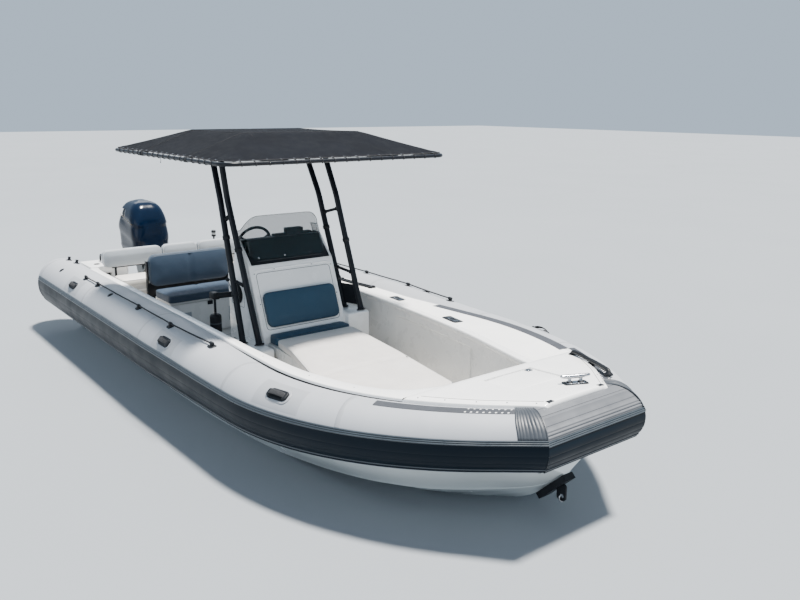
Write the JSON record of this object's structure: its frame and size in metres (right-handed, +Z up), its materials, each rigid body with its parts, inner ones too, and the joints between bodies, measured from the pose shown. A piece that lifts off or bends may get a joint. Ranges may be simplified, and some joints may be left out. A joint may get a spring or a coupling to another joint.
{
  "type": "rigid inflatable boat",
  "caption": "Open rigid inflatable boat: sunpad bow, centre console under a canvas roof frame, bench seats and a tilting, steering outboard engine.",
  "frame": {"origin": "on the centreline at the waterline, at the aft face of the transom", "axes": "+X forward to the bow, +Y to port, +Z up"},
  "size_m": [7.764, 2.9498, 3.346],
  "materials": {
    "tube_fabric": "matte coated fabric",
    "band_navy": "satin ribbed rubber",
    "hull_gelcoat": "gloss gelcoat",
    "gelcoat": "gloss gelcoat",
    "nonslip": "moulded nonslip",
    "vinyl_grey": "matte marine vinyl",
    "vinyl_teal": "matte marine vinyl",
    "screen": "tinted acrylic",
    "black_plastic": "moulded",
    "frame_black": "satin powder coat",
    "canvas_black": "woven canvas",
    "vinyl_slate": "matte marine vinyl",
    "vinyl_cream": "matte marine vinyl",
    "stainless": "polished",
    "lamp": "clear lens",
    "engine_metal": "satin paint",
    "engine_gloss": "gloss lacquer",
    "prop_steel": "satin",
    "rope": "braided"
  },
  "bodies": {
    "boat": {"tube_port": "tube_fabric", "tube_starboard": "tube_fabric", "tube_bow": "tube_fabric", "rub_band": "band_navy", "hull": "hull_gelcoat", "transom": "gelcoat", "cockpit_sole": "nonslip", "side_deck_starboard": "gelcoat", "side_deck_port": "gelcoat", "bow_deck": "gelcoat", "sunpad_base": "gelcoat", "sunpad_cushion": "vinyl_grey", "console": "gelcoat", "console_backrest": "vinyl_teal", "console_seat_cushion": "vinyl_teal", "windscreen": "screen", "dash_panel": "black_plastic", "throttle_control": "black_plastic", "shelter_legs_port": "frame_black", "shelter_legs_starboard": "frame_black", "shelter_roof_frame": "frame_black", "canopy": "canvas_black", "helm_seat_base": "gelcoat", "helm_seat_frame": "frame_black", "helm_seat_backrest": "vinyl_slate", "stern_bench_base": "gelcoat", "stern_bench_cushion": "vinyl_cream", "stern_backrests": "vinyl_grey", "stern_rails": "stainless", "stern_light": "lamp", "engine_clamp": "engine_metal", "bow_cleat": "stainless", "towing_eyes": "stainless", "tube_handles": "black_plastic", "grab_lines": "rope", "bow_grab_rail": "black_plastic"},
    "engine_bracket": {"engine_swivel": "engine_metal"},
    "engine": {"engine_midsection": "engine_metal", "engine_cowl": "engine_gloss", "engine_lower_unit": "engine_metal"},
    "propeller_body": {"propeller": "prop_steel"},
    "wheel": {"steering_wheel": "black_plastic"},
    "anchor_lid": {"anchor_locker_lid": "gelcoat"},
    "helm_lid": {"helm_seat_lid": "gelcoat", "helm_seat_cushion": "vinyl_slate"}
  },
  "joints": [
    {"name": "engine_tilt", "type": "hinge", "parent": "boat", "child": "engine_bracket", "pos_m": [-0.27, 0, 0.52], "axis": [0, 1, 0], "range_deg": [0, 62]},
    {"name": "engine_steer", "type": "hinge", "parent": "engine_bracket", "child": "engine", "pos_m": [-0.4, 0, 0.42], "axis": [0, 0, 1], "range_deg": [-30, 30]},
    {"name": "propeller_spin", "type": "hinge", "parent": "engine", "child": "propeller_body", "pos_m": [-0.809, 0, -0.72], "axis": [1, 0, 0], "continuous": true},
    {"name": "wheel_turn", "type": "hinge", "parent": "boat", "child": "wheel", "pos_m": [2.7963, -0.195, 1.29577], "axis": [-0.9561, 0, 0.293], "range_deg": [-720, 720]},
    {"name": "anchor_lid_open", "type": "hinge", "parent": "boat", "child": "anchor_lid", "pos_m": [5.987, 0, 0.8495], "axis": [0, -1, 0], "range_deg": [0, 95]},
    {"name": "helm_lid_open", "type": "hinge", "parent": "boat", "child": "helm_lid", "pos_m": [1.201, -0.13, 0.52], "axis": [0, -1, 0], "range_deg": [0, 62]}
  ],
  "couplings": [
    {"joint": "wheel_turn", "follows": "engine_steer", "ratio": 24}
  ]
}
